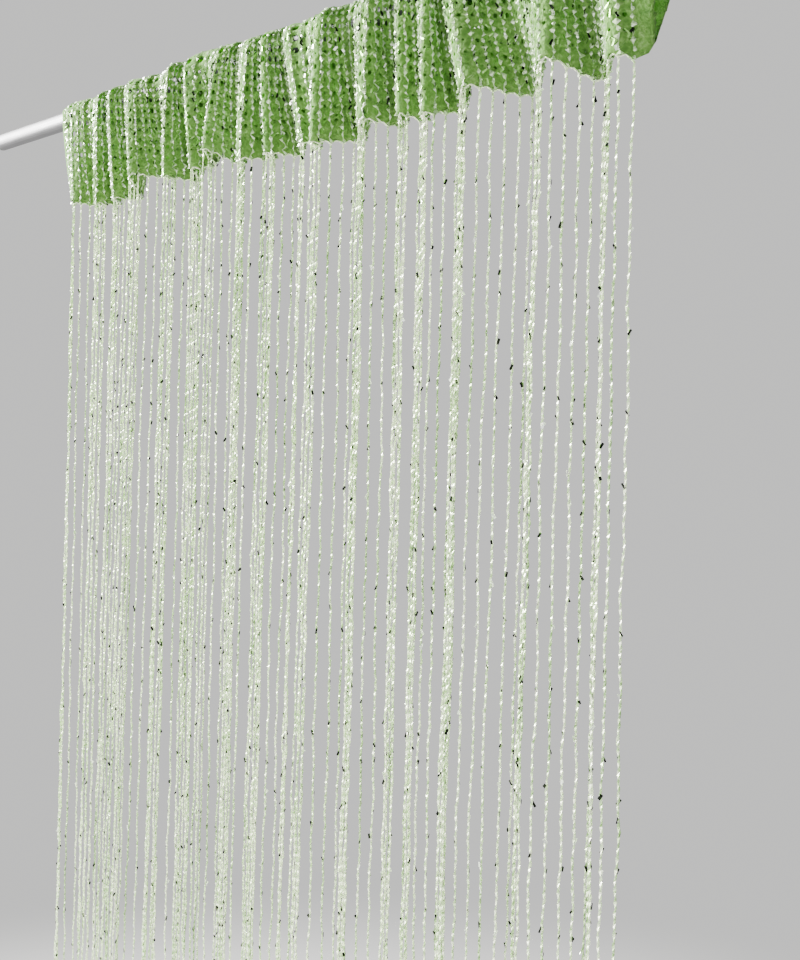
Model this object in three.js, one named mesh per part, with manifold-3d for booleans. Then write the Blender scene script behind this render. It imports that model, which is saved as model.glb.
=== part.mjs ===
// Tinsel string curtain hanging on a plain rod.
// Millimetres. +X runs along the rod to the right, +Y away from the viewer, +Z up.
// The origin is the centre of the rod's left end face.

import * as THREE from 'three';
import { mergeVertices } from 'three/addons/utils/BufferGeometryUtils.js';
import Module from 'manifold-3d';

// Rod: a plain round bar with flat ends.
const ROD_LENGTH = 900;
const ROD_RADIUS = 7.5;
const ROD_SIDES = 36;

// Header: a knitted sleeve, gathered on the rod and closed along its lower edge.
const HEADER_START = 152;
const HEADER_SPAN = 602;
const HEADER_DROP = 75;
const CLOTH_THICKNESS = 1.2;
const SEAM_HALF_WIDTH = 0.9;
const SLEEVE_REACH = 9.5;
const SLEEVE_TOP = 8.6;
const DEEPEST_FOLD = 15;
const GATHER_AT_ROD = 0.4;
const PUFF_ROUNDNESS = 2.2;

// Fringe: a narrow edge band with the strings fused into it.
const EDGE_GAP = 0.5;
const EDGE_HEIGHT = 4;
const EDGE_HALF_THICKNESS = 1.1;
const STRING_COUNT = 120;
const STRING_HALF_WIDTH = 0.7;
const STRING_END = -1985;
const STRING_SIDES = 4;
// Lengths of folded edge without strings at the left end and at the rounded right corner.
const BARE_LEFT = 4;
const BARE_RIGHT = 18;
const UNEVEN_END = 5;

// How the strings wander from the plumb line. A swing is largest at the lower end and a bow half way.
// shared: the part that neighbours share, in waves of so many strings from the start on
// own: each string's own part
// use: which of the string's repeatable numbers gives that part
const WANDER = {
  swingX: { shared: 4, wave: 37, start: 2, own: 0.9, use: 1 },
  swingY: { shared: 4, wave: 46, start: 16, own: 0.9, use: 2 },
  bowX: { shared: 2, wave: 30, start: 6, own: 0.6, use: 3 },
  bowY: { shared: 2, wave: 35, start: 0, own: 0.6, use: 4 },
};
const END_USE = 5;

// How far the bar turns from one sample to the next, in radians.
const STRING_TURN = 0.25;

// Depths at which each string is sampled, as shares of its length.
const STRING_SAMPLES = [0, 0.12, 0.3, 0.5, 0.72, 1];

// The folds of the lower edge, from left to right.
// crest, trough: where they lie, from the header's left end
// forward, back: how far the edge stands out to the front and to the back
// crestLift, troughLift: how far the edge is drawn up
// lean: how far right the fold lies at the rod
const FOLDS = [
  { crest: 17, forward: 7, crestLift: 0, trough: 40, back: 8, troughLift: -3, lean: 15 },
  { crest: 57, forward: 8, crestLift: -4, trough: 68, back: 8, troughLift: -5, lean: 20 },
  { crest: 89, forward: 8, crestLift: -3, trough: 98, back: 10, troughLift: -3, lean: 8 },
  { crest: 121, forward: 12, crestLift: 12, trough: 145, back: 14, troughLift: 9, lean: 9 },
  { crest: 173, forward: 12, crestLift: 4, trough: 185, back: 11, troughLift: 2, lean: 15 },
  { crest: 204, forward: 8, crestLift: 7, trough: 213, back: 7, troughLift: 9, lean: 6 },
  { crest: 222, forward: 10, crestLift: 18, trough: 240, back: 11, troughLift: 8, lean: 30 },
  { crest: 270, forward: 11, crestLift: 5, trough: 282, back: 9, troughLift: 6, lean: 17 },
  { crest: 299, forward: 10, crestLift: 5, trough: 310, back: 10, troughLift: 5, lean: 6 },
  { crest: 330, forward: 4, crestLift: 9, trough: 338, back: 3, troughLift: 4, lean: -1 },
  { crest: 352, forward: 14, crestLift: 4, trough: 368, back: 13, troughLift: 7, lean: 11 },
  { crest: 397, forward: 12, crestLift: 12, trough: 409, back: 11, troughLift: 9, lean: 11 },
  { crest: 424, forward: 6, crestLift: 12, trough: 432, back: 6, troughLift: 8, lean: 11 },
  { crest: 447, forward: 9, crestLift: 8, trough: 458, back: 10, troughLift: 10, lean: 8 },
  { crest: 483, forward: 14, crestLift: 16, trough: 507, back: 13, troughLift: 12, lean: -9 },
  { crest: 538, forward: 14, crestLift: 20, trough: 554, back: 11, troughLift: 11, lean: 4 },
];

// The left end, and the last fold with the header's rounded right corner.
const LEFT_END = { at: 0, out: 1, lift: 1, lean: 9 };
const LAST_CREST = { at: 577, out: -10, lift: 15, lean: 2 };
const CORNER_START = { at: 588, out: -3, lift: 12, lean: 6 };
const RIGHT_END = { at: HEADER_SPAN, out: -2, lift: 27, lean: 12 };

// The puffs of the gather over the rod, from left to right.
// at: where along the rod a puff stands highest, from the header's left end
// rise: how high it stands there
const PUFFS = [
  { at: 10, rise: 0.3 },
  { at: 52, rise: 0.6 },
  { at: 80, rise: 0.4 },
  { at: 112, rise: 3 },
  { at: 158, rise: 2.5 },
  { at: 190, rise: 4 },
  { at: 222, rise: 9 },
  { at: 256, rise: 4 },
  { at: 284, rise: 1.5 },
  { at: 314, rise: 3 },
  { at: 345, rise: 2.5 },
  { at: 378, rise: 4.5 },
  { at: 424, rise: 3 },
  { at: 454, rise: 4 },
  { at: 494, rise: 5 },
  { at: 542, rise: 4.5 },
  { at: 584, rise: 3.5 },
];

// Steps from one crest to the next trough, and heights up the sleeve as shares of its drop.
const STEPS_PER_HALF_FOLD = 4;
const SLEEVE_LEVELS = [0, 0.12, 0.42, 0.72, 1];
const SLEEVE_ARC = [30, 60, 90, 120, 150];

// The step with which slopes and lengths are measured along the lower edge.
const EDGE_STEP = 0.5;

// Points closer than this are one point.
const SAME_POINT = 1e-4;

const ROD_MATERIAL = { color: 0xb9bcc0, roughness: 0.32, metalness: 0.9 };
const HEADER_MATERIAL = { color: 0x8fbf6e, roughness: 0.7, metalness: 0 };
const FRINGE_MATERIAL = { color: 0xb4dba0, roughness: 0.6, metalness: 0 };

// A repeatable number from -1 to 1 for each string and each use.
function scatter(index, use) {
  const wave = Math.sin(index * 12.9898 + use * 78.233) * 43758.5453;
  return 2 * (wave - Math.floor(wave)) - 1;
}

// Crests, troughs and ends in one list, from left to right.
function turningPoints() {
  const points = [LEFT_END];
  FOLDS.forEach(({ crest, forward, crestLift, trough, back, troughLift, lean }, i) => {
    const next = i + 1 < FOLDS.length ? FOLDS[i + 1] : LAST_CREST;
    points.push({ at: crest, out: -forward, lift: crestLift, lean });
    points.push({ at: trough, out: back, lift: troughLift, lean: (lean + next.lean) / 2 });
  });
  points.push(LAST_CREST, CORNER_START, RIGHT_END);
  return points;
}

// How high the gather stands over the rod: domed over each puff and pinched half way to the next one.
function riseAt(along) {
  let nearest = 0;
  PUFFS.forEach((puff, i) => {
    if (Math.abs(puff.at - along) < Math.abs(PUFFS[nearest].at - along)) {
      nearest = i;
    }
  });
  const puff = PUFFS[nearest];
  const neighbour = PUFFS[along < puff.at ? nearest - 1 : nearest + 1];
  const edge = along < puff.at ? 0 : HEADER_SPAN;
  const reach = neighbour ? Math.abs(neighbour.at - puff.at) / 2 : Math.abs(edge - puff.at);
  const share = Math.min(Math.abs(along - puff.at) / reach, 1);
  return puff.rise * (1 - share ** PUFF_ROUNDNESS);
}

// The fold's values at a distance along the header, eased from one turning point to the next.
function foldAt(points, at) {
  let next = 1;
  while (next < points.length - 1 && points[next].at < at) {
    next += 1;
  }
  const left = points[next - 1];
  const right = points[next];
  const share = (at - left.at) / (right.at - left.at);
  const eased = 0.5 - 0.5 * Math.cos(Math.PI * share);
  return {
    out: THREE.MathUtils.lerp(left.out, right.out, eased),
    lift: THREE.MathUtils.lerp(left.lift, right.lift, eased),
    lean: THREE.MathUtils.lerp(left.lean, right.lean, eased),
  };
}

// Distances along the header at which its sections are taken.
function stationsOf(points) {
  const stations = [points[0].at];
  for (let i = 1; i < points.length; i += 1) {
    for (let step = 1; step <= STEPS_PER_HALF_FOLD; step += 1) {
      stations.push(THREE.MathUtils.lerp(points[i - 1].at, points[i].at, step / STEPS_PER_HALF_FOLD));
    }
  }
  return stations;
}

// The level direction square to the lower edge, pointing to the back.
function edgeNormal(points, at) {
  const before = Math.max(at - EDGE_STEP, 0);
  const after = Math.min(at + EDGE_STEP, HEADER_SPAN);
  const slope = (foldAt(points, after).out - foldAt(points, before).out) / (after - before);
  return new THREE.Vector3(-slope, 1, 0).normalize();
}

// A point of the lower edge's middle line.
function edgePoint(points, at) {
  const fold = foldAt(points, at);
  return new THREE.Vector3(HEADER_START + at, fold.out, fold.lift - HEADER_DROP);
}

// The middle line of the cloth around the sleeve at one station:
// up the front layer, over the rod and down the back layer. The puffs stand highest over the rod's front.
function sleeveSection(points, at) {
  const fold = foldAt(points, at);
  const front = SLEEVE_REACH + GATHER_AT_ROD * (DEEPEST_FOLD - fold.out);
  const back = SLEEVE_REACH + GATHER_AT_ROD * (DEEPEST_FOLD + fold.out);
  const edge = edgePoint(points, at);
  const normal = edgeNormal(points, at);
  const rise = riseAt(at + fold.lean);
  const layer = (side, reach) => SLEEVE_LEVELS.map((level) => {
    const low = edge.clone().addScaledVector(normal, side * SEAM_HALF_WIDTH);
    const high = new THREE.Vector3(edge.x + fold.lean, side * reach, 0);
    return low.lerp(high, level);
  });
  const arc = SLEEVE_ARC.map((angle) => {
    const turn = THREE.MathUtils.degToRad(angle);
    const reach = angle < 90 ? front : back;
    const top = SLEEVE_TOP + rise * (1 + Math.cos(turn)) / 2;
    return new THREE.Vector3(edge.x + fold.lean, -Math.cos(turn) * reach, Math.sin(turn) * top);
  });
  return [...layer(-1, front), ...arc, ...layer(1, back).reverse()];
}

// Unit normals of a grid of points, pointing out of the sleeve; level along both lower edges.
function sleeveNormals(grid) {
  const lastStation = grid.length - 1;
  const lastPoint = grid[0].length - 1;
  return grid.map((section, i) => section.map((_, k) => {
    const along = grid[Math.min(i + 1, lastStation)][k].clone();
    along.sub(grid[Math.max(i - 1, 0)][k]);
    const around = section[Math.min(k + 1, lastPoint)].clone();
    around.sub(section[Math.max(k - 1, 0)]);
    const normal = along.cross(around);
    if (k === 0 || k === lastPoint) {
      normal.z = 0;
    }
    return normal.normalize();
  }));
}

// Collects the points and four-cornered faces of a closed body.
class BodyBuilder {
  constructor() {
    this.positions = [];
    this.indices = [];
  }

  add(point) {
    this.positions.push(point.x, point.y, point.z);
    return this.positions.length / 3 - 1;
  }

  quad(a, b, c, d) {
    this.indices.push(a, b, c, a, c, d);
  }

  geometry() {
    const geometry = new THREE.BufferGeometry();
    geometry.setAttribute('position', new THREE.Float32BufferAttribute(this.positions, 3));
    geometry.setIndex(this.indices);
    geometry.computeVertexNormals();
    return geometry;
  }
}

// Header: the outer skin, the inner skin from above the closed edge, and a ring at each end.
function headerGeometry() {
  const points = turningPoints();
  const grid = stationsOf(points).map((at) => sleeveSection(points, at));
  const normals = sleeveNormals(grid);
  const body = new BodyBuilder();
  const half = CLOTH_THICKNESS / 2;
  const shifted = (i, k, offset) => body.add(grid[i][k].clone().addScaledVector(normals[i][k], offset));
  const last = grid[0].length - 1;
  const outer = grid.map((section, i) => section.map((_, k) => shifted(i, k, half)));
  const inner = grid.map((section, i) => section.map((_, k) => (
    k === 0 || k === last ? -1 : shifted(i, k, -half)
  )));
  for (let i = 0; i + 1 < grid.length; i += 1) {
    for (let k = 0; k < last; k += 1) {
      body.quad(outer[i][k], outer[i + 1][k], outer[i + 1][k + 1], outer[i][k + 1]);
    }
    body.quad(outer[i][last], outer[i + 1][last], outer[i + 1][0], outer[i][0]);
    for (let k = 1; k < last - 1; k += 1) {
      body.quad(inner[i][k], inner[i][k + 1], inner[i + 1][k + 1], inner[i + 1][k]);
    }
    body.quad(inner[i][last - 1], inner[i][1], inner[i + 1][1], inner[i + 1][last - 1]);
  }
  const closeEnd = (i, flip) => {
    const face = (a, b, c, d) => (flip ? body.quad(d, c, b, a) : body.quad(a, b, c, d));
    for (let k = 1; k < last - 1; k += 1) {
      face(outer[i][k], outer[i][k + 1], inner[i][k + 1], inner[i][k]);
    }
    face(outer[i][0], outer[i][1], inner[i][1], inner[i][last - 1]);
    face(outer[i][0], inner[i][last - 1], outer[i][last - 1], outer[i][last]);
  };
  closeEnd(0, false);
  closeEnd(grid.length - 1, true);
  return body.geometry();
}

// The edge band: a flat ribbon that follows the header's lower edge just under it, up to the rounded corner.
function edgeBandGeometry(points) {
  const body = new BodyBuilder();
  const stations = stationsOf(points).filter((at) => at <= CORNER_START.at);
  const rings = stations.map((at) => {
    const top = edgePoint(points, at);
    top.z -= EDGE_GAP;
    const low = top.clone();
    low.z -= EDGE_HEIGHT;
    const across = edgeNormal(points, at).multiplyScalar(EDGE_HALF_THICKNESS);
    return [
      body.add(top.clone().sub(across)),
      body.add(low.clone().sub(across)),
      body.add(low.clone().add(across)),
      body.add(top.clone().add(across)),
    ];
  });
  for (let i = 0; i + 1 < rings.length; i += 1) {
    for (let k = 0; k < 4; k += 1) {
      const next = (k + 1) % 4;
      body.quad(rings[i][k], rings[i][next], rings[i + 1][next], rings[i + 1][k]);
    }
  }
  const first = rings[0];
  const end = rings[rings.length - 1];
  body.quad(first[3], first[2], first[1], first[0]);
  body.quad(end[0], end[1], end[2], end[3]);
  return body.geometry();
}

// Distances along the header at which the strings leave it, evenly spaced along the folded edge.
function stringStarts(points) {
  const lengths = [0];
  let before = edgePoint(points, 0);
  for (let at = EDGE_STEP; at <= HEADER_SPAN; at += EDGE_STEP) {
    const here = edgePoint(points, at);
    lengths.push(lengths[lengths.length - 1] + Math.hypot(here.x - before.x, here.y - before.y));
    before = here;
  }
  const usable = lengths[lengths.length - 1] - BARE_LEFT - BARE_RIGHT;
  const starts = [];
  let sample = 0;
  for (let n = 0; n < STRING_COUNT; n += 1) {
    const wanted = BARE_LEFT + usable * n / (STRING_COUNT - 1);
    while (sample < lengths.length - 1 && lengths[sample] < wanted) {
      sample += 1;
    }
    starts.push(sample * EDGE_STEP);
  }
  return starts;
}

// One of a string's four ways of wandering, in millimetres.
function wander(kind, n) {
  const { shared, wave, start, own, use } = WANDER[kind];
  return shared * Math.sin(2 * Math.PI * (n + start) / wave) + own * scatter(n, use);
}

// A string's middle line: it leaves the edge band, hangs nearly plumb and wanders a little.
function stringPath(points, at, n) {
  const top = edgePoint(points, at);
  top.z -= EDGE_GAP + EDGE_HEIGHT / 2;
  const length = top.z - STRING_END + UNEVEN_END * scatter(n, END_USE);
  return STRING_SAMPLES.map((share) => {
    const bow = Math.sin(Math.PI * share);
    return new THREE.Vector3(
      top.x + wander('swingX', n) * share + wander('bowX', n) * bow,
      top.y + wander('swingY', n) * share + wander('bowY', n) * bow,
      top.z - length * share,
    );
  });
}

// All the strings as one mesh of closed four-sided bars that stand apart.
function stringsGeometry(points) {
  const body = new BodyBuilder();
  stringStarts(points).forEach((at, n) => {
    const rings = stringPath(points, at, n).map((centre, section) => {
      const ring = [];
      for (let side = 0; side < STRING_SIDES; side += 1) {
        const angle = 2 * Math.PI * side / STRING_SIDES + n + STRING_TURN * section;
        const corner = new THREE.Vector3(Math.cos(angle), Math.sin(angle), 0);
        ring.push(body.add(centre.clone().addScaledVector(corner, STRING_HALF_WIDTH * Math.SQRT2)));
      }
      return ring;
    });
    for (let i = 0; i + 1 < rings.length; i += 1) {
      for (let k = 0; k < STRING_SIDES; k += 1) {
        const next = (k + 1) % STRING_SIDES;
        body.quad(rings[i][next], rings[i][k], rings[i + 1][k], rings[i + 1][next]);
      }
    }
    const end = rings[rings.length - 1];
    body.quad(...rings[0]);
    body.quad(end[3], end[2], end[1], end[0]);
  });
  return body.geometry();
}

// A closed geometry as a solid that can be joined with others.
function toSolid(wasm, geometry) {
  const bare = geometry.clone();
  bare.deleteAttribute('normal');
  const merged = mergeVertices(bare, SAME_POINT);
  return new wasm.Manifold(new wasm.Mesh({
    numProp: 3,
    vertProperties: new Float32Array(merged.attributes.position.array),
    triVerts: new Uint32Array(merged.index.array),
  }));
}

function fromSolid(solid) {
  const mesh = solid.getMesh();
  const geometry = new THREE.BufferGeometry();
  geometry.setAttribute('position', new THREE.Float32BufferAttribute(mesh.vertProperties, 3));
  geometry.setIndex(new THREE.BufferAttribute(mesh.triVerts, 1));
  geometry.computeVertexNormals();
  return geometry;
}

// Fringe: the edge band and its strings, joined into one body.
function fringeGeometry(wasm) {
  const points = turningPoints();
  const band = toSolid(wasm, edgeBandGeometry(points));
  const strings = toSolid(wasm, stringsGeometry(points));
  return fromSolid(band.add(strings));
}

function namedMesh(name, geometry, material) {
  const mesh = new THREE.Mesh(geometry, new THREE.MeshStandardMaterial(material));
  mesh.name = name;
  return mesh;
}

const wasm = await Module();
wasm.setup();

const rodShape = new THREE.CylinderGeometry(ROD_RADIUS, ROD_RADIUS, ROD_LENGTH, ROD_SIDES);
const rod = namedMesh('rod', rodShape, ROD_MATERIAL);
rod.rotation.z = -Math.PI / 2;
rod.position.x = ROD_LENGTH / 2;

const curtain = new THREE.Group();
curtain.add(rod);
curtain.add(namedMesh('header', headerGeometry(), HEADER_MATERIAL));
curtain.add(namedMesh('fringe', fringeGeometry(wasm), FRINGE_MATERIAL));

export default curtain;
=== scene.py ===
import math

import bpy
import numpy as np
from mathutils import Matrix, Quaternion, Vector


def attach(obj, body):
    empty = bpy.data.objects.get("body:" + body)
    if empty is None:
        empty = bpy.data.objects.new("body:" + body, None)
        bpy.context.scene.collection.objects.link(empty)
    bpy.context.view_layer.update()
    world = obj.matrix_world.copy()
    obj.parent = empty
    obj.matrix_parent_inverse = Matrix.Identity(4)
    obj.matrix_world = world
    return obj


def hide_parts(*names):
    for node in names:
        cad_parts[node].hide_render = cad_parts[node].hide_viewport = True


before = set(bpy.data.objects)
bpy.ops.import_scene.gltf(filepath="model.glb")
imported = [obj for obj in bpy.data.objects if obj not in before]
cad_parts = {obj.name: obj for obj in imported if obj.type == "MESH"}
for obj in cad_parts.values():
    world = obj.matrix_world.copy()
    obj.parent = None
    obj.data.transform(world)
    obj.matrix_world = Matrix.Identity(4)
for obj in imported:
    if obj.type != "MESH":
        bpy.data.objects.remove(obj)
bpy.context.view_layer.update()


# Curtain rod: a drawn steel tube with a satin finish, closed by flat pressed ends.
# The curtain is pushed onto it and it carries everything, so it comes first.
# It is turned from one cylinder, its ends are dished a little and their rims rounded.
ROD_LENGTH = 0.9
ROD_RADIUS = 0.0075
ROD_SIDES = 96
ROD_END_RIM = 0.0012
ROD_END_DISH = 0.0004
ROD_RIM_ROUNDING = 0.0005
ROD_RIM_STEPS = 3
ROD_RIM_ANGLE = math.radians(60)
ROD_SHARP_ANGLE = math.radians(35)
ROD_STEEL = (0.085, 0.085, 0.09, 1)
ROD_STEEL_LIGHT = (0.15, 0.15, 0.155, 1)
# Brush lines run along the rod, so the pattern is stretched in X.
ROD_BRUSH_STRETCH = (6, 900, 900)
ROD_CLOUD_SCALE = 45
ROD_ROUGHNESS = (0.42, 0.58)
# How strongly the pattern stands out and how high it is, in metres.
ROD_BUMP = (0.25, 0.0001)
# A face counts as facing along an axis when its normal's share of that axis is above this.
FACING = 0.9


def new_material(name):
    material = bpy.data.materials.new(name)
    material.use_nodes = True
    return material


def add_node(material, kind, **settings):
    node = material.node_tree.nodes.new(kind)
    for setting, value in settings.items():
        setattr(node, setting, value)
    return node


def join_sockets(material, output, target):
    material.node_tree.links.new(output, target)


def object_pattern(material, stretch):
    """Object coordinates, stretched by three factors."""
    place = add_node(material, "ShaderNodeTexCoord")
    mapping = add_node(material, "ShaderNodeMapping")
    mapping.inputs["Scale"].default_value = stretch
    join_sockets(material, place.outputs["Object"], mapping.inputs["Vector"])
    return mapping.outputs["Vector"]


def noise(material, vector, scale, detail=3):
    texture = add_node(material, "ShaderNodeTexNoise")
    texture.inputs["Scale"].default_value = scale
    texture.inputs["Detail"].default_value = detail
    join_sockets(material, vector, texture.inputs["Vector"])
    return texture.outputs["Fac"]


def ramp(material, factor, stops):
    """A colour ramp from (place, colour) stops."""
    node = add_node(material, "ShaderNodeValToRGB")
    elements = node.color_ramp.elements
    while len(elements) < len(stops):
        elements.new(0.5)
    for element, (place, colour) in zip(elements, stops):
        element.position = place
        element.color = colour
    join_sockets(material, factor, node.inputs["Fac"])
    return node.outputs["Color"]


def spread_value(material, factor, low, high):
    """Turns a factor from 0 to 1 into a value from low to high."""
    node = add_node(material, "ShaderNodeMapRange")
    node.inputs["To Min"].default_value = low
    node.inputs["To Max"].default_value = high
    join_sockets(material, factor, node.inputs["Value"])
    return node.outputs["Result"]


def raise_surface(material, height, bump):
    """Lets a height pattern stand out of the main shader; bump is its strength and its height in metres."""
    node = add_node(material, "ShaderNodeBump")
    node.inputs["Strength"].default_value = bump[0]
    node.inputs["Distance"].default_value = bump[1]
    join_sockets(material, height, node.inputs["Height"])
    shader = material.node_tree.nodes["Principled BSDF"]
    join_sockets(material, node.outputs["Normal"], shader.inputs["Normal"])


def blend_patterns(material, first, second, first_share):
    """The sum of two patterns, the first one by its share and the second one by the rest."""
    rest = add_node(material, "ShaderNodeMath", operation="MULTIPLY")
    rest.inputs[1].default_value = 1 - first_share
    join_sockets(material, second, rest.inputs[0])
    total = add_node(material, "ShaderNodeMath", operation="MULTIPLY_ADD")
    total.inputs[1].default_value = first_share
    join_sockets(material, first, total.inputs[0])
    join_sockets(material, rest.outputs[0], total.inputs[2])
    return total.outputs[0]


def let_light_through(material, colour, share):
    """Mixes light that comes through the piece into the material's main shader."""
    glow = add_node(material, "ShaderNodeBsdfTranslucent")
    glow.inputs["Color"].default_value = colour
    both = add_node(material, "ShaderNodeMixShader")
    both.inputs["Fac"].default_value = share
    shader = material.node_tree.nodes["Principled BSDF"]
    join_sockets(material, shader.outputs[0], both.inputs[1])
    join_sockets(material, glow.outputs[0], both.inputs[2])
    output = material.node_tree.nodes["Material Output"]
    join_sockets(material, both.outputs[0], output.inputs["Surface"])


def pick_faces(piece, is_picked):
    """Selects faces of the active piece by a rule and leaves it in edit mode."""
    bpy.ops.object.mode_set(mode="EDIT")
    bpy.ops.mesh.select_mode(type="FACE")
    bpy.ops.mesh.select_all(action="DESELECT")
    bpy.ops.object.mode_set(mode="OBJECT")
    for face in piece.data.polygons:
        face.select = is_picked(face.normal)
    bpy.ops.object.mode_set(mode="EDIT")


bpy.ops.object.select_all(action="DESELECT")
bpy.ops.mesh.primitive_cylinder_add(
    vertices=ROD_SIDES,
    radius=ROD_RADIUS,
    depth=ROD_LENGTH,
    location=(ROD_LENGTH / 2, 0, 0),
    rotation=(0, math.pi / 2, 0),
)
rod = bpy.context.object
rod.name = "curtain_rod"
bpy.ops.object.transform_apply(location=True, rotation=True, scale=True)
pick_faces(rod, lambda normal: abs(normal.x) > FACING)
bpy.ops.mesh.inset(thickness=ROD_END_RIM)
bpy.ops.transform.shrink_fatten(value=-ROD_END_DISH)
bpy.ops.object.mode_set(mode="OBJECT")
rounding = rod.modifiers.new("rim", "BEVEL")
rounding.width = ROD_RIM_ROUNDING
rounding.segments = ROD_RIM_STEPS
rounding.limit_method = "ANGLE"
rounding.angle_limit = ROD_RIM_ANGLE
bpy.ops.object.modifier_apply(modifier=rounding.name)
bpy.ops.object.shade_smooth_by_angle(angle=ROD_SHARP_ANGLE)

rod_steel = new_material("satin_steel")
steel = rod_steel.node_tree.nodes["Principled BSDF"]
steel.inputs["Metallic"].default_value = 1
brushed = noise(rod_steel, object_pattern(rod_steel, ROD_BRUSH_STRETCH), 1)
clouds = noise(rod_steel, object_pattern(rod_steel, (1, 1, 1)), ROD_CLOUD_SCALE)
join_sockets(
    rod_steel,
    ramp(rod_steel, brushed, [(0.3, ROD_STEEL), (0.75, ROD_STEEL_LIGHT)]),
    steel.inputs["Base Color"],
)
join_sockets(rod_steel, spread_value(rod_steel, clouds, *ROD_ROUGHNESS), steel.inputs["Roughness"])
raise_surface(rod_steel, brushed, ROD_BUMP)
rod.data.materials.append(rod_steel)
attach(rod, "root")
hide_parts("rod")


# Header net: one knitted polyester net, turned over the rod as a sleeve and closed along its lower edge.
# It is gathered on the rod in uneven folds and its open cells show the layer behind.
# All its sizes are in millimetres, as the maker would give them, and the mesh is made in metres.
MILLIMETRE = 0.001
HEADER_START = 152
HEADER_SPAN = 602
HEADER_DROP = 75
SEAM_HALF_WIDTH = 0.9
SLEEVE_REACH = 9.5
SLEEVE_TOP = 8.6
DEEPEST_FOLD = 15
GATHER_AT_ROD = 0.4
PUFF_ROUNDNESS = 2.2
EDGE_STEP = 0.5
STRING_COUNT = 120
# Lengths of folded edge without strings at the left end and at the rounded right corner.
BARE_LEFT = 4
BARE_RIGHT = 18
NET_THICKNESS = 0.9
# The net's flat cut, unrolled: along the rod and around the sleeve, in metres.
# Rows of cells up the front, over the rod and down the back.
FRONT_ROWS = 9
TOP_ROWS = 5
# The hole of a cell, as half its width in shares of the cell. The knit is drawn open near the rod and
# nearly closed towards the lower edge and on the back. Its corners are drawn in to round it.
HOLE_PLACES = (0, 1, 1.4, 2, 3)
HOLE_SIZES = (0.08, 0.25, 0.13, 0.06, 0.05)
HOLE_CORNER_SHARE = 0.74
HOLE_UNEVEN = 0.45
# The cloth falls plumb from the rod and only then slants to its edge.
FALL_EASE = 1.25
# Small tucks that the gathering makes between the folds.
TUCK_DEPTH = 0.8
TUCK_DEPTH_AT_EDGE = 0.25
TUCK_PITCH = 9.5
# Each tuck is two waves by their shares, the second one longer, and the pitch drifts along the header.
TUCK_SHARES = (0.6, 0.4)
TUCK_SECOND_WAVE = 0.61
TUCK_SECOND_START = 2
TUCK_DRIFT = 1.6
TUCK_DRIFT_LENGTH = 19
SLOPE_STEP = 0.02
SCALLOP_DROP = 0.9
SCALLOP_RISE = 0.7
SCALLOP_REACH = 0.12
NET_WOBBLE = 0.03
# Points of the mesh along each side of a cell.
CELL_STEPS = 4
# Every random draw has a use number of its own.
HOLE_USE = 21
WOBBLE_USES = (22, 23)
NET_SHADE = (0.06, 0.17, 0.02, 1)
NET_GREEN = (0.14, 0.32, 0.05, 1)
NET_LIGHT = (0.30, 0.52, 0.15, 1)
NET_GLOW = (0.24, 0.55, 0.10, 1)
NET_TRANSLUCENCE = 0.42
NET_ROUGHNESS = 0.9
NET_SHEEN = 0.12
NET_SHEEN_ROUGHNESS = 0.4
NET_SHEEN_TINT = (0.8, 1, 0.7, 1)
NET_FIBRE_SCALE = 620
NET_PATCH_SCALE = 210
NET_FIBRE_SHARE = 0.6
NET_BUMP = (1.0, 0.0022)

# crest, trough: where they lie, from the header's left end
# forward, back: how far the edge stands out to the front and to the back
# crest_lift, trough_lift: how far the edge is drawn up
# lean: how far right the fold lies at the rod
FOLD_COLUMNS = ("crest", "forward", "crest_lift", "trough", "back", "trough_lift", "lean")
FOLDS = [
    (17, 7, 0, 40, 8, -3, 15),
    (57, 8, -4, 68, 8, -5, 20),
    (89, 8, -3, 98, 10, -3, 8),
    (121, 12, 12, 145, 14, 9, 9),
    (173, 12, 4, 185, 11, 2, 15),
    (204, 8, 7, 213, 7, 9, 6),
    (222, 10, 18, 240, 11, 8, 30),
    (270, 11, 5, 282, 9, 6, 17),
    (299, 10, 5, 310, 10, 5, 6),
    (330, 4, 9, 338, 3, 4, -1),
    (352, 14, 4, 368, 13, 7, 11),
    (397, 12, 12, 409, 11, 9, 11),
    (424, 6, 12, 432, 6, 8, 11),
    (447, 9, 8, 458, 10, 10, 8),
    (483, 14, 16, 507, 13, 12, -9),
    (538, 14, 20, 554, 11, 11, 4),
]
# at, out, lift, lean
LEFT_END = (0, 1, 1, 9)
LAST_CREST = (577, -10, 15, 2)
CORNER_START = (588, -3, 12, 6)
RIGHT_END = (HEADER_SPAN, -2, 27, 12)
# The puffs of the gather over the rod: where along the rod each stands highest and how high.
PUFF_COLUMNS = ("at", "rise")
PUFFS = [
    (10, 0.3),
    (52, 0.6),
    (80, 0.4),
    (112, 3),
    (158, 2.5),
    (190, 4),
    (222, 9),
    (256, 4),
    (284, 1.5),
    (314, 3),
    (345, 2.5),
    (378, 4.5),
    (424, 3),
    (454, 4),
    (494, 5),
    (542, 4.5),
    (584, 3.5),
]


def turning_points():
    """Crests, troughs and ends in one list, from left to right."""
    folds = [dict(zip(FOLD_COLUMNS, sizes)) for sizes in FOLDS]
    leans = [fold["lean"] for fold in folds] + [LAST_CREST[3]]
    rows = [LEFT_END]
    for fold, lean, following in zip(folds, leans, leans[1:]):
        rows.append((fold["crest"], -fold["forward"], fold["crest_lift"], lean))
        rows.append((fold["trough"], fold["back"], fold["trough_lift"], (lean + following) / 2))
    rows += [LAST_CREST, CORNER_START, RIGHT_END]
    return np.array(rows, float)


TURNS = turning_points()


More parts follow.
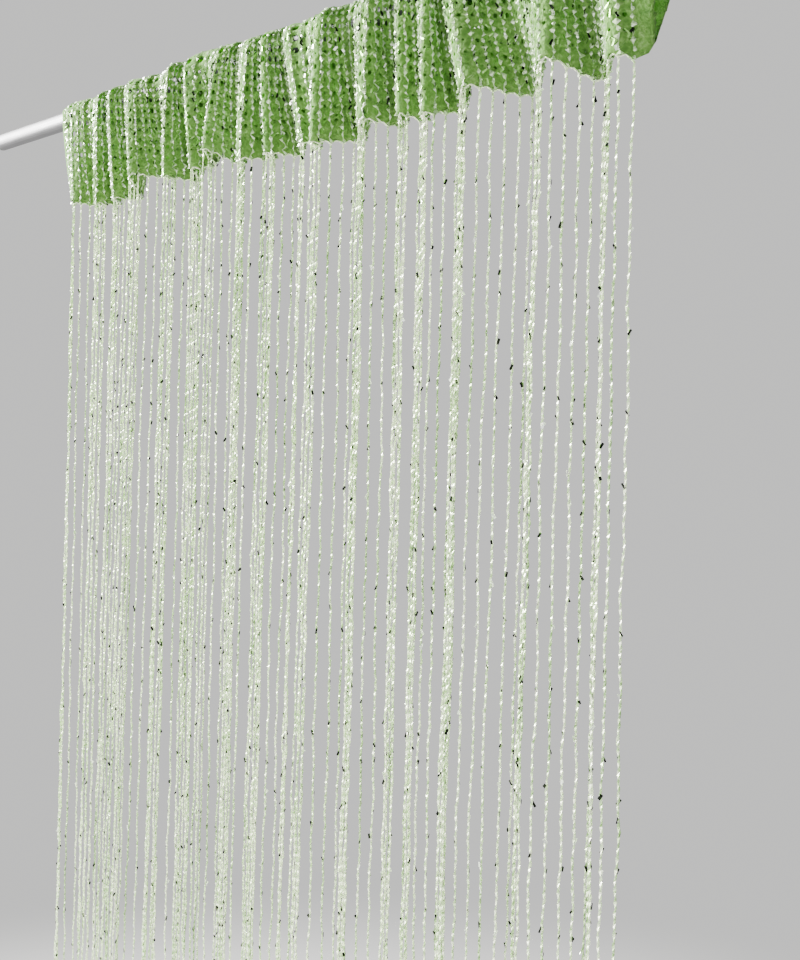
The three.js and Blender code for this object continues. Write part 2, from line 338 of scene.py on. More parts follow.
def fold_at(at):
    """The fold's out, lift and lean at distances along the header."""
    following = np.clip(np.searchsorted(TURNS[:, 0], at), 1, len(TURNS) - 1)
    left = TURNS[following - 1]
    right = TURNS[following]
    share = (at - left[..., 0]) / (right[..., 0] - left[..., 0])
    eased = (0.5 - 0.5 * np.cos(np.pi * share))[..., None]
    return np.moveaxis(left + (right - left) * eased, -1, 0)[1:]


def rise_at(along):
    """How high the gather stands: domed over each puff and pinched half way to the next one."""
    tops, rises = np.array(PUFFS, float).T
    notches = np.concatenate([[0], (tops[1:] + tops[:-1]) / 2, [HEADER_SPAN]])
    puff = np.searchsorted(notches[1:-1], along)
    notch = np.where(along < tops[puff], notches[puff], notches[puff + 1])
    share = np.clip((along - tops[puff]) / (notch - tops[puff]), 0, 1)
    return rises[puff] * (1 - share ** PUFF_ROUNDNESS)


def edge_slope(at):
    before = np.maximum(at - EDGE_STEP, 0)
    after = np.minimum(at + EDGE_STEP, HEADER_SPAN)
    return (fold_at(after)[0] - fold_at(before)[0]) / (after - before)


def string_starts():
    """Distances along the header at which strings leave it, even along the folded edge."""
    at = np.arange(0, HEADER_SPAN + EDGE_STEP / 2, EDGE_STEP)
    steps = np.hypot(np.diff(at), np.diff(fold_at(at)[0]))
    lengths = np.concatenate([[0], np.cumsum(steps)])
    usable = lengths[-1] - BARE_LEFT - BARE_RIGHT
    wanted = BARE_LEFT + usable * np.arange(STRING_COUNT) / (STRING_COUNT - 1)
    return at[np.minimum(np.searchsorted(lengths, wanted - 1e-9), len(at) - 1)]


STARTS = string_starts()


def scatter(index, use):
    """A repeatable number from -1 to 1 for each index and each use."""
    wave = np.sin(index * 12.9898 + use * 78.233) * 43758.5453
    return 2 * (wave - np.floor(wave)) - 1


def sleeve_middle(at, around):
    """The cloth's middle: around is 0 to 1 up the front, to 2 over the rod and to 3 down the back."""
    out, lift, lean = fold_at(at)
    slope = edge_slope(at)
    across = 1 / np.hypot(1, slope)
    side = np.where(around < 1.5, -1, 1)
    reach = SLEEVE_REACH + GATHER_AT_ROD * (DEEPEST_FOLD + side * out)
    level = np.clip(np.where(around < 1.5, around, 3 - around), 0, 1)
    eased = 1 - (1 - level) ** FALL_EASE
    angle = np.clip(around - 1, 0, 1) * np.pi
    low_x = -slope * across * side * SEAM_HALF_WIDTH
    low_y = out + across * side * SEAM_HALF_WIDTH
    x = HEADER_START + at + low_x * (1 - level) + lean * level
    y = low_y * (1 - eased) - np.cos(angle) * reach * eased
    rise = rise_at(at + lean) * (1 + np.cos(angle)) / 2
    z = (lift - HEADER_DROP) * (1 - level) + np.sin(angle) * (SLEEVE_TOP + rise)
    return np.stack([x, y, z], axis=-1)


def cloth_point(at, around, proud=0.0):
    """A point on the gathered net, proud of its middle, with its tucks and its scalloped edge."""
    at = np.asarray(at, float)
    around = np.asarray(around, float)
    along = sleeve_middle(np.minimum(at + EDGE_STEP, HEADER_SPAN), around)
    along = along - sleeve_middle(np.maximum(at - EDGE_STEP, 0), around)
    upward = sleeve_middle(at, np.minimum(around + SLOPE_STEP, 3))
    upward = upward - sleeve_middle(at, np.maximum(around - SLOPE_STEP, 0))
    normal = np.cross(along, upward)
    normal /= np.linalg.norm(normal, axis=-1, keepdims=True)
    level = np.clip(np.where(around < 1.5, around, 3 - around), 0, 1)
    depth = TUCK_DEPTH_AT_EDGE + (TUCK_DEPTH - TUCK_DEPTH_AT_EDGE) * level ** 2
    phase = 2 * np.pi * at / TUCK_PITCH + TUCK_DRIFT * np.sin(at / TUCK_DRIFT_LENGTH)
    second_phase = TUCK_SECOND_WAVE * phase + TUCK_SECOND_START + around
    tuck = TUCK_SHARES[0] * np.sin(phase) + TUCK_SHARES[1] * np.sin(second_phase)
    point = sleeve_middle(at, around) + normal * (depth * tuck + proud)[..., None]
    between = np.interp(at, STARTS, np.arange(STRING_COUNT))
    scallop = SCALLOP_DROP + SCALLOP_RISE * np.cos(2 * np.pi * between)
    point[..., 2] -= scallop * np.clip(1 - level / SCALLOP_REACH, 0, 1)
    return point


def add_piece(name, points, faces):
    """A new piece from points in millimetres and lists of corners."""
    mesh = bpy.data.meshes.new(name)
    mesh.from_pydata((points * MILLIMETRE).tolist(), [], faces)
    mesh.validate()
    piece = bpy.data.objects.new(name, mesh)
    bpy.context.scene.collection.objects.link(piece)
    bpy.ops.object.select_all(action="DESELECT")
    bpy.context.view_layer.objects.active = piece
    piece.select_set(True)
    return piece


def net_cells():
    """The net's points, CELL_STEPS to a cell each way, and the faces that leave a hole in each cell."""
    columns = np.concatenate([[0], STARTS, [HEADER_SPAN]])
    front = np.linspace(0, 1, FRONT_ROWS + 1)
    top = np.linspace(1, 2, TOP_ROWS + 1)[1:]
    back = np.linspace(2, 3, FRONT_ROWS + 1)[1:]
    rows = np.concatenate([front, top, back])
    wide = CELL_STEPS * (len(columns) - 1) + 1
    high = CELL_STEPS * (len(rows) - 1) + 1
    i, j = np.meshgrid(np.arange(wide), np.arange(high), indexing="ij")
    column = np.minimum(i // CELL_STEPS, len(columns) - 2)
    row = np.minimum(j // CELL_STEPS, len(rows) - 2)
    in_column = i - CELL_STEPS * column
    in_row = j - CELL_STEPS * row
    cell = column * len(rows) + row
    half = np.interp(rows[row], HOLE_PLACES, HOLE_SIZES) * (1 + HOLE_UNEVEN * scatter(cell, HOLE_USE))
    # 0 at the cell's rim, 1 at the hole's rim and 0 again in its middle, with a sign for the side.
    side = np.array([0, -1, 0, 1, 0])
    rounded_across = np.where(in_row == CELL_STEPS // 2, 1, HOLE_CORNER_SHARE)
    rounded_upward = np.where(in_column == CELL_STEPS // 2, 1, HOLE_CORNER_SHARE)
    rim_across = 0.5 + side[in_column] * half * rounded_across
    rim_upward = 0.5 + side[in_row] * half * rounded_upward
    across = np.where(in_column == 0, 0, rim_across)
    upward = np.where(in_row == 0, 0, rim_upward)
    point = i * high + j
    loose = (in_column > 0) & (in_column < CELL_STEPS) & (in_row > 0) & (in_row < CELL_STEPS)
    across = across + np.where(loose, NET_WOBBLE * scatter(point, WOBBLE_USES[0]), 0)
    upward = upward + np.where(loose, NET_WOBBLE * scatter(point, WOBBLE_USES[1]), 0)
    at = columns[column] + (columns[column + 1] - columns[column]) * across
    around = rows[row] + (rows[row + 1] - rows[row]) * upward
    open_cell = (column > 0) & (column < len(columns) - 2) & (row > 0) & (row < len(rows) - 2)
    mid_column = (in_column % CELL_STEPS > 0) & (in_column < CELL_STEPS - 1)
    mid_row = (in_row % CELL_STEPS > 0) & (in_row < CELL_STEPS - 1)
    in_hole = open_cell & mid_column & mid_row
    kept = ~in_hole[:-1, :-1]
    squares = [point[:-1, :-1], point[1:, :-1], point[1:, 1:], point[:-1, 1:]]
    faces = np.stack(squares, axis=-1)[kept]
    hem = np.stack([point[:-1, -1], point[1:, -1], point[1:, 0], point[:-1, 0]], axis=-1)
    return cloth_point(at, around).reshape(-1, 3), np.concatenate([faces, hem])


net_points, net_faces = net_cells()
used = np.unique(net_faces)
renumbered = np.zeros(len(net_points), int)
renumbered[used] = np.arange(len(used))
net_faces = renumbered[net_faces]
header = add_piece("header_net", net_points[used], net_faces.tolist())
thickness = header.modifiers.new("thickness", "SOLIDIFY")
thickness.thickness = NET_THICKNESS * MILLIMETRE
thickness.offset = 0
bpy.ops.object.modifier_apply(modifier=thickness.name)
bpy.ops.object.shade_smooth()

net_yarn = new_material("net_yarn")
knit = net_yarn.node_tree.nodes["Principled BSDF"]
knit.inputs["Roughness"].default_value = NET_ROUGHNESS
knit.inputs["Sheen Weight"].default_value = NET_SHEEN
knit.inputs["Sheen Roughness"].default_value = NET_SHEEN_ROUGHNESS
knit.inputs["Sheen Tint"].default_value = NET_SHEEN_TINT
net_place = object_pattern(net_yarn, (1, 1, 1))
fibres = noise(net_yarn, net_place, NET_FIBRE_SCALE, 5)
patches = noise(net_yarn, net_place, NET_PATCH_SCALE)
mottling = blend_patterns(net_yarn, fibres, patches, NET_FIBRE_SHARE)
net_colour = ramp(net_yarn, mottling, [(0.32, NET_SHADE), (0.5, NET_GREEN), (0.68, NET_LIGHT)])
join_sockets(net_yarn, net_colour, knit.inputs["Base Color"])
raise_surface(net_yarn, mottling, NET_BUMP)
let_light_through(net_yarn, NET_GLOW, NET_TRANSLUCENCE)
header.data.materials.append(net_yarn)
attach(header, "root")
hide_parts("header")


# Pillar yarns: the tinsel yarn of each string is knitted up the header before it hangs free.
# It runs up the front, over the rod and down the back, and bunches into a knot at every row.
# Each one is a thin tube that follows the folds and swells at the knots.
PILLAR_STEPS_PER_ROW = 4
PILLAR_SIDES = 5
PILLAR_RADIUS = 0.4
PILLAR_KNOT = 2.0
PILLAR_HALF_KNOT = 1.35
# A knot lies flat: it stands less far out of the net than it is wide.
PILLAR_FLATNESS = 0.55
PILLAR_PROUD = 0.2
PILLAR_WANDER = 0.6
PILLAR_UNEVEN = 0.3
PILLAR_TURN = 0.9
PILLAR_PLACE_USE = 31
PILLAR_SIZE_USE = 32
# A direction that no yarn runs along, from which the rings of a tube are turned.
RING_START = np.array([1.0, 0.12, 0.07])
# The yarn and pillar colours run from shade to pale. Besides the plies' own mottling, the dark ends are
# painted shade and the pale ends are painted light, which the long patches lay on whole strings.
YARN_SHADE = (0.20, 0.31, 0.11, 1)
YARN_GREEN = (0.60, 0.78, 0.40, 1)
YARN_PALE_AND_PAINTED_LIGHT = (1.0, 1.0, 0.84, 1)
PILLAR_SHADE = (0.07, 0.18, 0.02, 1)
PILLAR_GREEN = (0.17, 0.36, 0.08, 1)
PILLAR_PALE_AND_PAINTED_LIGHT = (0.50, 0.70, 0.34, 1)
YARN_GLOW = (0.50, 0.80, 0.30, 1)
YARN_TRANSLUCENCE = 0.25
# The foil in the yarn flashes in the light and stays dark in the shade, as a clear coat does.
YARN_COAT_IOR = 2.3
YARN_COAT_ROUGHNESS = 0.3
YARN_ROUGHNESS = 0.34
YARN_SPECULAR = 0.7
YARN_SHEEN = 0.2
YARN_SHEEN_ROUGHNESS = 0.3
YARN_PLY_SCALE = 760
YARN_PLY_STRETCH = (1, 1, 1.2)
YARN_PLY_SHARE = 0.45
# Long patches along the strings, a few millimetres across, paint whole stretches of string lighter as if
# lit and darker as if in shade: painted light and painted shade.
YARN_LIGHT_AND_SHADE_PATCH_SCALE = 170
YARN_LIGHT_AND_SHADE_PATCH_STRETCH = (1, 1, 0.06)
YARN_BUMP = (0.5, 0.0003)


def tube_faces(rings, sides, first=0):
    """Faces of a closed tube of so many rings, its points numbered ring after ring."""
    ring = first + sides * np.arange(rings - 1)[:, None]
    side = np.arange(sides)[None, :]
    following = (side + 1) % sides
    above = ring + sides
    walls = np.stack([ring + side, ring + following, above + following, above + side], axis=-1)
    faces = walls.reshape(-1, 4).tolist()
    last = first + sides * (rings - 1)
    faces.append([first + k for k in reversed(range(sides))])
    faces.append([last + k for k in range(sides)])
    return faces


def tube_points(centres, radii, turns, sides, flatness=1.0):
    """Points of a tube around a line of centres, each ring square to it and as flat as wanted."""
    heading = np.gradient(centres, axis=0)
    heading /= np.linalg.norm(heading, axis=1, keepdims=True)
    sideways = np.cross(heading, RING_START)
    sideways /= np.linalg.norm(sideways, axis=1, keepdims=True)
    other = np.cross(heading, sideways)
    angle = turns[:, None] + 2 * np.pi * np.arange(sides)[None, :] / sides
    flat_way = flatness * np.cos(angle)[..., None] * sideways[:, None]
    wide_way = np.sin(angle)[..., None] * other[:, None]
    return (centres[:, None] + radii[:, None, None] * (flat_way + wide_way)).reshape(-1, 3)


def pillar_yarns():
    rows = 2 * FRONT_ROWS + TOP_ROWS
    row = np.linspace(0, rows, rows * PILLAR_STEPS_PER_ROW + 1)
    around = np.interp(row, [0, FRONT_ROWS, FRONT_ROWS + TOP_ROWS, rows], [0, 1, 2, 3])
    in_row = np.arange(len(row)) % PILLAR_STEPS_PER_ROW
    knot = np.where(in_row == 0, PILLAR_KNOT, PILLAR_RADIUS)
    knot = np.where(in_row == PILLAR_STEPS_PER_ROW // 2, PILLAR_HALF_KNOT, knot)
    points = []
    faces = []
    for n, start in enumerate(STARTS):
        index = n * len(row) + np.arange(len(row))
        at = start + PILLAR_WANDER * scatter(index, PILLAR_PLACE_USE)
        size = knot * (1 + PILLAR_UNEVEN * scatter(index, PILLAR_SIZE_USE))
        centres = cloth_point(np.clip(at, 0, HEADER_SPAN), around, PILLAR_PROUD)
        turns = PILLAR_TURN * np.arange(len(row)) + n
        faces += tube_faces(len(row), PILLAR_SIDES, len(row) * PILLAR_SIDES * n)
        points.append(tube_points(centres, size, turns, PILLAR_SIDES, PILLAR_FLATNESS))
    return add_piece("pillar_yarns", np.concatenate(points), faces)


pillars = pillar_yarns()


def yarn_material(name, shade, middle, pale, metallic, coat):
    """A glossy two-ply yarn: fine mottling from its plies, and long patches that paint light and shade on
    whole stretches of each string, lighter as if lit and darker as if in shade.
    """
    material = new_material(name)
    yarn = material.node_tree.nodes["Principled BSDF"]
    yarn.inputs["Roughness"].default_value = YARN_ROUGHNESS
    yarn.inputs["Metallic"].default_value = metallic
    yarn.inputs["Sheen Weight"].default_value = YARN_SHEEN
    yarn.inputs["Sheen Roughness"].default_value = YARN_SHEEN_ROUGHNESS
    yarn.inputs["Specular IOR Level"].default_value = YARN_SPECULAR
    yarn.inputs["Coat Weight"].default_value = coat
    yarn.inputs["Coat IOR"].default_value = YARN_COAT_IOR
    yarn.inputs["Coat Roughness"].default_value = YARN_COAT_ROUGHNESS
    plies = noise(material, object_pattern(material, YARN_PLY_STRETCH), YARN_PLY_SCALE, 2)
    # Painted light and shade: the long patches lighten or darken whole stretches of each string.
    patches = noise(material, object_pattern(material, YARN_LIGHT_AND_SHADE_PATCH_STRETCH), YARN_LIGHT_AND_SHADE_PATCH_SCALE, 2)
    mottling = blend_patterns(material, plies, patches, YARN_PLY_SHARE)
    colour = ramp(material, mottling, [(0.37, shade), (0.45, middle), (0.53, pale)])
    join_sockets(material, colour, yarn.inputs["Base Color"])
    raise_surface(material, plies, YARN_BUMP)
    let_light_through(material, YARN_GLOW, YARN_TRANSLUCENCE)
    return material


tinsel_yarn = yarn_material("tinsel_yarn", YARN_SHADE, YARN_GREEN, YARN_PALE_AND_PAINTED_LIGHT, 0.3, 0.3)
pillar_yarn = yarn_material("pillar_yarn", PILLAR_SHADE, PILLAR_GREEN, PILLAR_PALE_AND_PAINTED_LIGHT, 0, 1)
pillars.data.materials.append(pillar_yarn)
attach(pillars, "root")


# Edge chain: the last knitted row, a looped yarn that hangs in arcs from string to string.
# Each arc comes down to its two strings, so every string starts in a small V.
CHAIN_STEPS = 8
CHAIN_SIDES = 5
CHAIN_RADIUS = 0.6
CHAIN_HIGH = 0.7
CHAIN_LOW = 2.9
CHAIN_ARCH_SHAPE = 0.8
CHAIN_UNEVEN = 0.25
CHAIN_TURN = 0.7
CHAIN_USE = 41


def edge_chain():
    between = np.linspace(0, STRING_COUNT - 1, (STRING_COUNT - 1) * CHAIN_STEPS + 1)
    at = np.interp(between, np.arange(STRING_COUNT), STARTS)
    out, lift = fold_at(at)[:2]
    arch = np.abs(np.sin(np.pi * between)) ** CHAIN_ARCH_SHAPE
    z = lift - HEADER_DROP - CHAIN_LOW + (CHAIN_LOW - CHAIN_HIGH) * arch
    centres = np.stack([HEADER_START + at, out, z], axis=-1)
    index = np.arange(len(at))
    size = CHAIN_RADIUS * (1 + CHAIN_UNEVEN * scatter(index, CHAIN_USE))
    faces = tube_faces(len(at), CHAIN_SIDES)
    points = tube_points(centres, size, CHAIN_TURN * index, CHAIN_SIDES)
    return add_piece("edge_chain", points, faces)


chain = edge_chain()
chain.data.materials.append(tinsel_yarn)
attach(chain, "root")


# Strings: 120 two-ply tinsel yarns that leave the header's lower edge and hang free.
# Each is a long twisted tube with a kinked line, cut a little unevenly at its lower end.
# They are kept in four bundles of 30, from left to right.
EDGE_GAP = 0.5
EDGE_HEIGHT = 4
STRING_END = -1985
UNEVEN_END = 5
STRING_RADIUS = 0.78
STRING_SIDES = 3
STRING_RINGS = 640
STRING_TWIST = math.radians(70)
STRING_UNEVEN = 0.22
STRING_SIZE_USE = 71
BUNDLES = 4
# How the strings wander from the plumb line, as in the solids:
# shared: the part that neighbours share, in waves of so many strings from the start on
# own: each string's own part
WANDER_COLUMNS = ("shared", "wave", "start", "own", "use")
WANDER = {
    "swing_x": (4, 37, 2, 0.9, 1),
    "swing_y": (4, 46, 16, 0.9, 2),
    "bow_x": (2, 30, 6, 0.6, 3),
    "bow_y": (2, 35, 0, 0.6, 4),
}
END_USE = 5
# Small kinks: wave lengths along the string and how far each one throws it aside.
KINKS = [(17, 0.14), (34, 0.22), (71, 0.25), (190, 0.4)]
# The kinks grow over this length, and each starts at a turn of its own.
KINK_SETTLE = 20
KINK_START = 3
KINK_USES = (50, 60)


def wander(kind, n):
    way = dict(zip(WANDER_COLUMNS, WANDER[kind]))
    turn = 2 * np.pi * (n + way["start"]) / way["wave"]
    return way["shared"] * np.sin(turn) + way["own"] * scatter(n, way["use"])


def string_line(n, share):
    """Points of string n at shares of its length, from the header's edge to its end."""
    out, lift = fold_at(STARTS[n])[:2]
    top = lift - HEADER_DROP - EDGE_GAP - EDGE_HEIGHT / 2
    length = top - STRING_END + UNEVEN_END * scatter(n, END_USE)
    bow = np.sin(np.pi * share)
    x = HEADER_START + STARTS[n] + wander("swing_x", n) * share + wander("bow_x", n) * bow
    y = out + wander("swing_y", n) * share + wander("bow_y", n) * bow
    depth = length * share
    for order, (wave, throw) in enumerate(KINKS):
        turn = 2 * np.pi * depth / wave
        settle = np.clip(depth / KINK_SETTLE, 0, 1)
        start_x, start_y = [KINK_START * scatter(n, use + order) for use in KINK_USES]
        x = x + settle * throw * np.sin(turn + start_x)
        y = y + settle * throw * np.sin(turn + start_y)
    return np.stack([x, y, top - depth], axis=-1)


def string_bundle(name, members):
    share = np.linspace(0, 1, STRING_RINGS)
    points = []
    faces = []
    for place, n in enumerate(members):
        index = n * STRING_RINGS + np.arange(STRING_RINGS)
        size = STRING_RADIUS * (1 + STRING_UNEVEN * scatter(index, STRING_SIZE_USE))
        turns = STRING_TWIST * np.arange(STRING_RINGS) + n
        faces += tube_faces(STRING_RINGS, STRING_SIDES, place * STRING_RINGS * STRING_SIDES)
        points.append(tube_points(string_line(n, share), size, turns, STRING_SIDES))
    return add_piece(name, np.concatenate(points), faces)


for order in range(BUNDLES):
    members = range(order * STRING_COUNT // BUNDLES, (order + 1) * STRING_COUNT // BUNDLES)
    bundle = string_bundle(f"strings_{order + 1}", members)
    bundle.data.materials.append(tinsel_yarn)
    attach(bundle, "root")
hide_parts("fringe")


# Foil chips: snips of foil that are twisted into the tinsel yarn all along it.
# Some show their bright side and flash white, and the others show a dull dark side.
# One chip is cut and twisted, then set many times along the strings and the pillar yarns.
CHIP_THICKNESS = 0.22
CHIP_TWIST = math.radians(25)
CHIP_NARROWING = 0.6
CHIP_SPACING = 21
CHIP_LENGTHS = (1.9, 3.4)
CHIP_WIDTHS = (0.9, 1.6)
CHIP_TILTS = (math.radians(12), math.radians(38))
CHIP_OFFSET = 0.85
CHIP_PROUD = 0.6
# How unevenly the chips follow each other, in shares of their spacing.
CHIP_UNEVEN = 0.45
# The share of a string that stays without chips at each end.
CHIP_BARE_SHARE = 0.002
CHIPS_ON_PILLAR = 9
CHIP_TOP_LEVEL = 0.97
CHIP_BRIGHT_ABOVE = 0.2
# Room for the chips of one string in the numbering of the random draws.
CHIP_NUMBERS = 1000
# The use numbers of the chips' random draws.
CHIP_USES = {
    "spacing": 81,
    "level": 82,
    "aside_x": 83,
    "aside_y": 84,
    "length": 85,
    "width": 86,
    "tilt": 87,
    "tilt_side": 88,
    "heading": 89,
    "brightness": 90,
}
FOIL_BRIGHT = (0.92, 0.97, 0.90, 1)
FOIL_BRIGHT_GREEN = (0.80, 0.93, 0.72, 1)
FOIL_DARK = (0.004, 0.006, 0.004, 1)
FOIL_DARK_GREEN = (0.015, 0.02, 0.012, 1)
FOIL_SPOT_SCALE = 260
FOIL_CREASE_SCALE = 900
FOIL_BUMP = (0.3, 0.0003)


def cut_chip():
    """One chip, a unit long and wide, its upper end twisted; returns its points and faces."""
    bpy.ops.object.select_all(action="DESELECT")
    bpy.ops.mesh.primitive_cube_add(size=1)
    chip = bpy.context.object
    pick_faces(chip, lambda normal: normal.z > FACING)
    bpy.ops.transform.resize(value=(CHIP_NARROWING, 1, 1))
    bpy.ops.transform.rotate(value=CHIP_TWIST, orient_axis="Z", center_override=(0, 0, 0))
    bpy.ops.object.mode_set(mode="OBJECT")
    shape = np.array([corner.co for corner in chip.data.vertices], float)
    faces = np.array([list(face.vertices) for face in chip.data.polygons])
    bpy.data.objects.remove(chip)
    return shape, faces


chip_shape, chip_faces = cut_chip()


def turned(points, axis, angles):
    """Points of many chips, each chip turned about one of the three axes by its own angle."""
    one, two = [(1, 2), (2, 0), (0, 1)][axis]
    out = points.copy()
    cosine = np.cos(angles)[:, None]
    sine = np.sin(angles)[:, None]
    out[..., one] = points[..., one] * cosine - points[..., two] * sine
    out[..., two] = points[..., one] * sine + points[..., two] * cosine
    return out


def set_chips(name, centres, lengths, widths, tilts, headings, thickness):
    sizes = np.stack([widths, np.full(len(widths), thickness), lengths], axis=-1)
    points = chip_shape[None] * sizes[:, None]
    points = turned(points, 1, tilts)
    points = turned(points, 2, headings)
    points = points + centres[:, None]
    corners = len(chip_shape)
    faces = chip_faces[None] + corners * np.arange(len(centres))[:, None, None]
    return add_piece(name, points.reshape(-1, 3), faces.reshape(-1, 4).tolist())


def between_limits(limits, index, use):
    low, high = limits
    return low + (high - low) * (0.5 + 0.5 * scatter(index, use))


def chip_places():
    """Centres of the chips along the strings and along the pillar yarns on the header."""
    centres = []
    for n in range(STRING_COUNT):
        lift = fold_at(STARTS[n])[1]
        length = lift - HEADER_DROP - STRING_END
        count = int(length / CHIP_SPACING)
        index = n * CHIP_NUMBERS + np.arange(count)
        uneven = CHIP_UNEVEN * scatter(index, CHIP_USES["spacing"])
        share = (np.arange(count) + 0.5 + uneven) / count
        centres.append(string_line(n, np.clip(share, CHIP_BARE_SHARE, 1 - CHIP_BARE_SHARE)))
    index = np.arange(STRING_COUNT * CHIPS_ON_PILLAR)
    level = CHIP_TOP_LEVEL * (0.5 + 0.5 * scatter(index, CHIP_USES["level"]))
    around = np.where(index % 3 == 0, 3 - level, level)
    at = STARTS[index % STRING_COUNT]
    centres.append(cloth_point(at, around, PILLAR_PROUD + CHIP_PROUD))
    return np.concatenate(centres)


chip_centres = chip_places()
chip_index = np.arange(len(chip_centres))
chip_centres[:, 0] += CHIP_OFFSET * scatter(chip_index, CHIP_USES["aside_x"])
chip_centres[:, 1] += CHIP_OFFSET * scatter(chip_index, CHIP_USES["aside_y"])
chip_lengths = between_limits(CHIP_LENGTHS, chip_index, CHIP_USES["length"])
chip_widths = between_limits(CHIP_WIDTHS, chip_index, CHIP_USES["width"])
chip_tilts = between_limits(CHIP_TILTS, chip_index, CHIP_USES["tilt"])
chip_tilts *= np.sign(scatter(chip_index, CHIP_USES["tilt_side"]))
chip_headings = np.pi * scatter(chip_index, CHIP_USES["heading"])


def foil_material(name, dull, shiny, roughness, metallic):
    material = new_material(name)
    foil = material.node_tree.nodes["Principled BSDF"]
    foil.inputs["Metallic"].default_value = metallic
    foil.inputs["Roughness"].default_value = roughness
    place = object_pattern(material, (1, 1, 1))
    spots = noise(material, place, FOIL_SPOT_SCALE, 2)
    colour = ramp(material, spots, [(0.35, dull), (0.6, shiny)])
    join_sockets(material, colour, foil.inputs["Base Color"])
    creases = noise(material, place, FOIL_CREASE_SCALE, 2)
    raise_surface(material, creases, FOIL_BUMP)
    return material


bright_foil = foil_material("bright_foil", FOIL_BRIGHT_GREEN, FOIL_BRIGHT, 0.25, 0.6)
dark_foil = foil_material("dark_foil", FOIL_DARK_GREEN, FOIL_DARK, 0.9, 0)
dark_foil.node_tree.nodes["Principled BSDF"].inputs["Specular IOR Level"].default_value = 0
is_bright = scatter(chip_index, CHIP_USES["brightness"]) > CHIP_BRIGHT_ABOVE
for name, chosen, material in (
    ("foil_chips_bright", is_bright, bright_foil),
    ("foil_chips_dark", ~is_bright, dark_foil),
):
    chips = set_chips(
        name,
        chip_centres[chosen],
        chip_lengths[chosen],
        chip_widths[chosen],
        chip_tilts[chosen],
        chip_headings[chosen],
        CHIP_THICKNESS,
    )
    chips.data.materials.append(material)
    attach(chips, "root")


# Foil lashes: longer snips of the same foil that are caught flat in the header's knit.
# They follow the folds at many slants, so the cloth glints in small green flashes.
LASH_COUNT = 2600
LASH_LENGTHS = (2.2, 4.6)
LASH_WIDTHS = (0.6, 1.3)
LASH_THICKNESS = 0.16
LASH_PROUD = 0.6
LASH_TILT = math.radians(60)
LASH_TURN = math.radians(14)
# The lowest level of a lash on the cloth and how far up the others go.
LASH_LOW = 0.03
LASH_CLIMB = 0.95
LASH_ROUGHNESS = 0.3
LASH_METAL = 0.85
LASH_USES = {"string": 101, "level": 102, "turn": 103, "length": 104, "width": 105, "tilt": 106}
LASH_DULL = (0.10, 0.25, 0.04, 1)
LASH_SHINY = (0.26, 0.46, 0.14, 1)

lash_index = np.arange(LASH_COUNT)
lash_string = (0.5 + 0.5 * scatter(lash_index, LASH_USES["string"])) * (STRING_COUNT - 1)
lash_at = np.interp(lash_string, np.arange(STRING_COUNT), STARTS)
lash_level = LASH_LOW + LASH_CLIMB * (0.5 + 0.5 * scatter(lash_index, LASH_USES["level"]))
lash_around = np.where(lash_index % 3 == 0, 3 - lash_level, lash_level)
# The heading of a lash follows the fold that it lies on.
lash_turn = LASH_TURN * scatter(lash_index, LASH_USES["turn"])
lash_heading = np.arctan(edge_slope(lash_at)) + lash_turn
lashes = set_chips(
    "foil_lashes",
    cloth_point(lash_at, lash_around, LASH_PROUD),
    between_limits(LASH_LENGTHS, lash_index, LASH_USES["length"]),
    between_limits(LASH_WIDTHS, lash_index, LASH_USES["width"]),
    LASH_TILT * scatter(lash_index, LASH_USES["tilt"]),
    lash_heading,
    LASH_THICKNESS,
)
lash_foil = foil_material("lash_foil", LASH_DULL, LASH_SHINY, LASH_ROUGHNESS, LASH_METAL)
lashes.data.materials.append(lash_foil)
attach(lashes, "root")


# The studio: a plain pale floor under the strings' ends that fades into a pale backdrop.
# A large soft light stands to the left in front and a weaker one on the right, and the camera
# stands to the right of the curtain, a little below the rod, and looks along it.
FLOOR_HEIGHT = -2.0
FLOOR_RADIUS = 6
FLOOR_SIDES = 96
FLOOR_ROUGHNESS = 0.85
FLOOR_FADE = (1.6, 3.1)
FLOOR_COLOUR = (0.78, 0.78, 0.77, 1)
BACKDROP = (0.80, 0.80, 0.79, 1)
BACKDROP_STRENGTH = 1.0
CAMERA_PLACE = Vector((1.037, -0.434, -0.218))
CAMERA_HEADING = Vector((-0.729, 0.685, 0))
CAMERA_ROLL = 0.027
CAMERA_LENS = 40.5
CAMERA_SHIFT = -0.107
CAMERA_NEAR = 0.01
LIGHT_COLUMNS = ("name", "place", "aim", "width", "height", "watts", "colour")
LIGHTS = [
    ("left_light", (-2.0, -1.25, 0.6), (0.5, 0, -0.6), 0.9, 1.8, 1000, (1, 0.99, 0.96)),
    ("right_front_light", (2.4, -1.6, 0.2), (0.5, 0, -0.8), 1.6, 2.2, 20, (0.97, 0.99, 1)),
    ("back_light", (0.2, 2.2, 0.6), (0.5, 0, -0.7), 1.6, 2.2, 50, (1, 1, 0.97)),
]

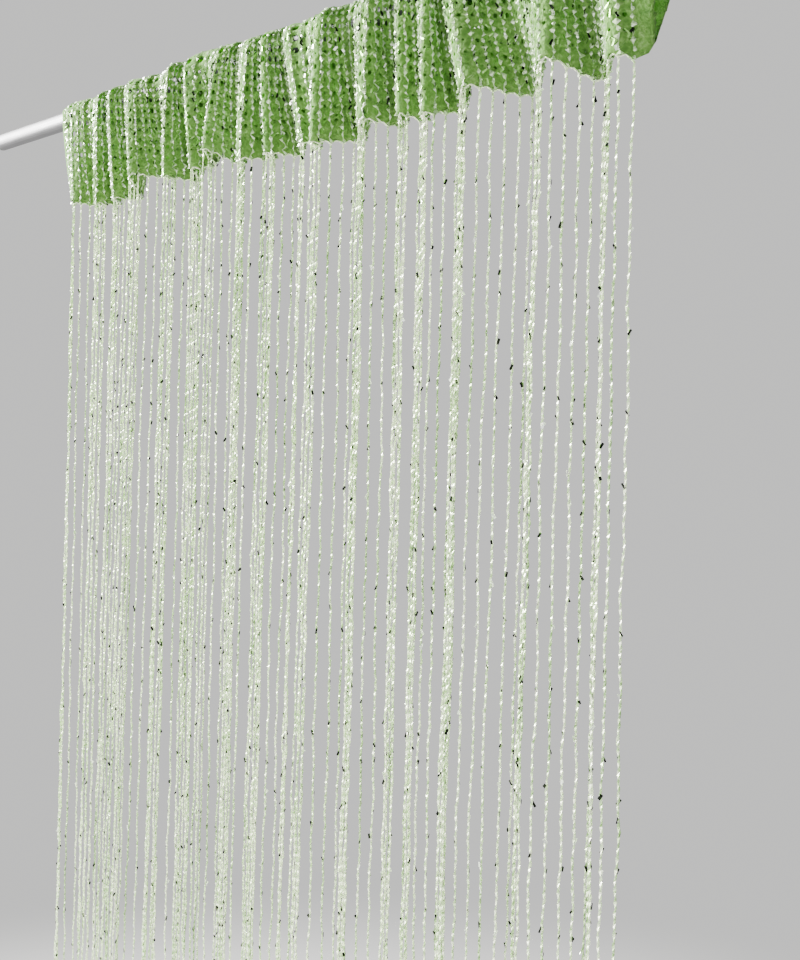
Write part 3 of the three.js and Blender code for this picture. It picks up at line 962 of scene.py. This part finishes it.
bpy.ops.object.select_all(action="DESELECT")
bpy.ops.mesh.primitive_circle_add(
    vertices=FLOOR_SIDES,
    radius=FLOOR_RADIUS,
    fill_type="NGON",
    location=(ROD_LENGTH / 2, 0, FLOOR_HEIGHT),
)
floor = bpy.context.object
floor.name = "floor"
bpy.ops.object.transform_apply(location=True, rotation=True, scale=True)
floor_paint = new_material("pale_floor")
paint = floor_paint.node_tree.nodes["Principled BSDF"]
paint.inputs["Roughness"].default_value = FLOOR_ROUGHNESS
paint.inputs["Base Color"].default_value = FLOOR_COLOUR
from_middle = add_node(floor_paint, "ShaderNodeVectorMath", operation="DISTANCE")
from_middle.inputs[1].default_value = (ROD_LENGTH / 2, 0, FLOOR_HEIGHT)
join_sockets(floor_paint, object_pattern(floor_paint, (1, 1, 1)), from_middle.inputs[0])
fade = add_node(floor_paint, "ShaderNodeMapRange", interpolation_type="SMOOTHSTEP")
fade.inputs["From Min"].default_value = FLOOR_FADE[0]
fade.inputs["From Max"].default_value = FLOOR_FADE[1]
join_sockets(floor_paint, from_middle.outputs["Value"], fade.inputs["Value"])
clear = add_node(floor_paint, "ShaderNodeBsdfTransparent")
faded = add_node(floor_paint, "ShaderNodeMixShader")
join_sockets(floor_paint, fade.outputs["Result"], faded.inputs["Fac"])
join_sockets(floor_paint, paint.outputs[0], faded.inputs[1])
join_sockets(floor_paint, clear.outputs[0], faded.inputs[2])
floor_output = floor_paint.node_tree.nodes["Material Output"]
join_sockets(floor_paint, faded.outputs[0], floor_output.inputs["Surface"])
floor.data.materials.append(floor_paint)

world = bpy.data.worlds.new("pale_backdrop")
bpy.context.scene.world = world
world.use_nodes = True
backdrop = world.node_tree.nodes["Background"]
backdrop.inputs["Color"].default_value = BACKDROP
backdrop.inputs["Strength"].default_value = BACKDROP_STRENGTH

for row in LIGHTS:
    light = dict(zip(LIGHT_COLUMNS, row))
    lamp = bpy.data.lights.new(light["name"], "AREA")
    lamp.shape = "RECTANGLE"
    lamp.size = light["width"]
    lamp.size_y = light["height"]
    lamp.energy = light["watts"]
    lamp.color = light["colour"]
    holder = bpy.data.objects.new(light["name"], lamp)
    holder.location = light["place"]
    aim = Vector(light["aim"]) - Vector(light["place"])
    holder.rotation_mode = "QUATERNION"
    holder.rotation_quaternion = aim.to_track_quat("-Z", "Y")
    bpy.context.scene.collection.objects.link(holder)

camera_data = bpy.data.cameras.new("camera")
camera_data.lens = CAMERA_LENS
camera_data.shift_y = CAMERA_SHIFT
camera_data.clip_start = CAMERA_NEAR
camera = bpy.data.objects.new("camera", camera_data)
camera.location = CAMERA_PLACE
camera.rotation_mode = "QUATERNION"
heading = CAMERA_HEADING.to_track_quat("-Z", "Y")
camera.rotation_quaternion = heading @ Quaternion((0, 0, 1), CAMERA_ROLL)
bpy.context.scene.collection.objects.link(camera)
bpy.context.scene.camera = camera
